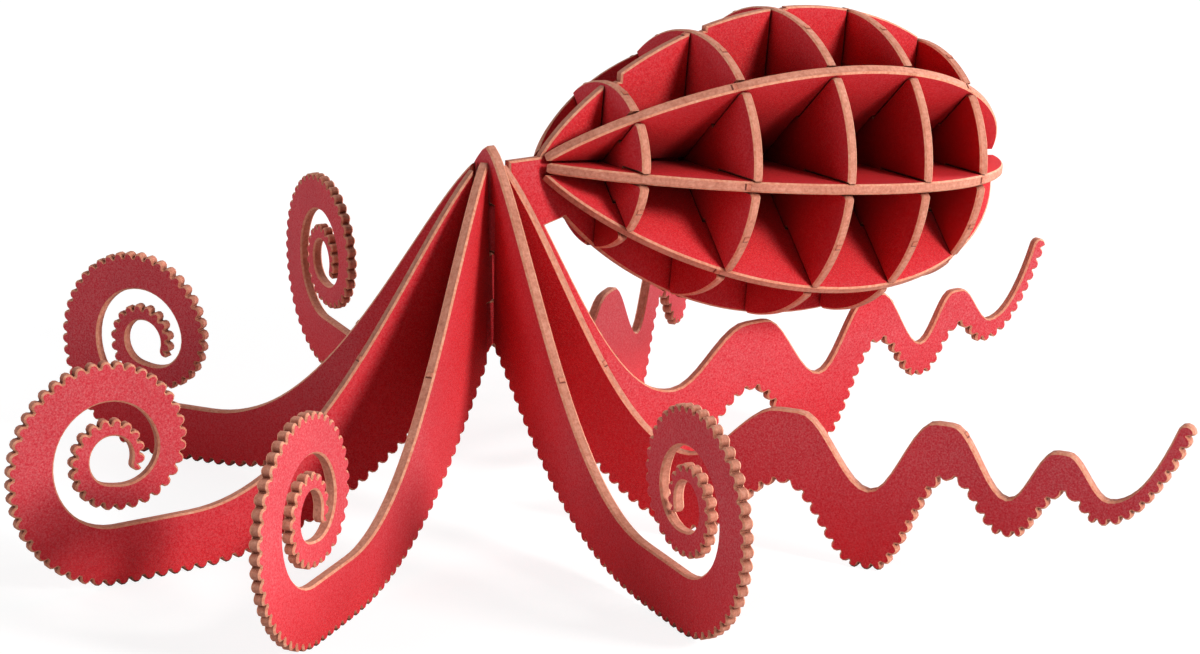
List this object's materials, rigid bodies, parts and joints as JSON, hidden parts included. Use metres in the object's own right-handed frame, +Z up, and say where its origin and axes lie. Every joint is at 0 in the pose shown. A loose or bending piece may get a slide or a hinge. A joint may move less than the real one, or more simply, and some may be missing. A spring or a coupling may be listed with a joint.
{
  "type": "slot-together octopus model",
  "caption": "Octopus slotted together from flat red board: upright plates cross on one hub and end in curled and wavy arms, and the keel carries an egg-shaped head of discs and ribs.",
  "frame": {"origin": "point on the floor straight under the hub, where the upright plates cross", "axes": "+X along the keel towards the rear of the head, +Z up"},
  "size_m": [0.2089, 0.1929, 0.081],
  "materials": {
    "red_board": "matte through-dyed board with tan cut edges"
  },
  "bodies": {
    "arms": {"cross_arm_plate": "red_board", "far_arm_plate": "red_board", "near_arm_plate": "red_board"},
    "keel": {"keel_plate": "red_board", "head_disc_1": "red_board", "head_disc_2": "red_board", "head_disc_3": "red_board", "head_disc_4": "red_board", "head_disc_5": "red_board", "upper_right_rib": "red_board", "side_right_rib": "red_board", "lower_right_rib": "red_board", "upper_left_rib": "red_board", "side_left_rib": "red_board", "lower_left_rib": "red_board"}
  },
  "joints": [
    {"name": "keel_swing", "type": "hinge", "parent": "arms", "child": "keel", "pos_m": [0, 0, 0], "axis": [0, 0, 1], "range_deg": [-28, 5]}
  ]
}
